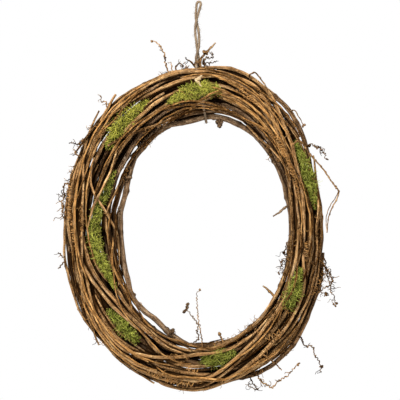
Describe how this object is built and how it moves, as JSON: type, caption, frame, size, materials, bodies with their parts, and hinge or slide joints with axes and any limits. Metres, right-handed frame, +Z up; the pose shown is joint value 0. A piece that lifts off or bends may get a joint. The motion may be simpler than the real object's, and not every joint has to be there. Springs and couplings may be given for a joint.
{
  "type": "grapevine wreath",
  "caption": "Oval hanging wreath of wound vine canes with curling tendrils, moss tufts tucked between the canes and a twine hanging loop.",
  "frame": {"origin": "the bearing point of the twine hanging loop: the underside of the twine at the loop's top, where a hook or nail carries the wreath", "axes": "+Z up, along the wreath's height as it hangs; +X to the right as seen from the front; -Y towards the front"},
  "size_m": [0.3524, 0.0703, 0.4893],
  "materials": {
    "bark_tan": "dry stringy bark",
    "bark_dark": "dry stringy bark",
    "bark_grey": "weathered bark",
    "moss": "dried fibrous moss",
    "twine": "twisted natural fibre"
  },
  "bodies": {
    "root": {"back_high": "bark_dark", "back_inner": "bark_dark", "back_low": "bark_dark", "back_outer": "bark_dark", "back_rim": "bark_dark", "cane_amber_long": "bark_tan", "cane_brown_bottom": "bark_tan", "cane_brown_middle": "bark_tan", "cane_dark_left": "bark_dark", "cane_dark_outer": "bark_dark", "cane_dark_upper": "bark_dark", "cane_grey_inner": "bark_grey", "cane_grey_second": "bark_grey", "cane_tan_left": "bark_tan", "cane_tan_long": "bark_tan", "cane_tan_middle": "bark_tan", "cane_thin_rim": "bark_tan", "cane_umber_left": "bark_tan", "core_inner": "bark_dark", "core_outer": "bark_dark", "moss_bottom": "moss", "moss_left": "moss", "moss_left_lower": "moss", "moss_right_lower": "moss", "moss_right_upper": "moss", "moss_top": "moss", "moss_top_left": "moss", "shoot_bottom_rise": "bark_tan", "shoot_bottom_steep": "bark_tan", "shoot_bottom_thin": "bark_tan", "shoot_brown_cross": "bark_tan", "shoot_cross_down": "bark_tan", "shoot_cross_up": "bark_tan", "shoot_cut_top": "bark_tan", "shoot_left_bow": "bark_tan", "shoot_left_inner": "bark_tan", "shoot_right_inner": "bark_tan", "shoot_right_outer": "bark_tan", "shoot_right_pair": "bark_tan", "shoot_right_steep": "bark_tan", "shoot_top_left": "bark_tan", "shoot_top_right": "bark_tan", "twine_hanger": "twine", "twine_tie": "twine"}
  },
  "joints": []
}
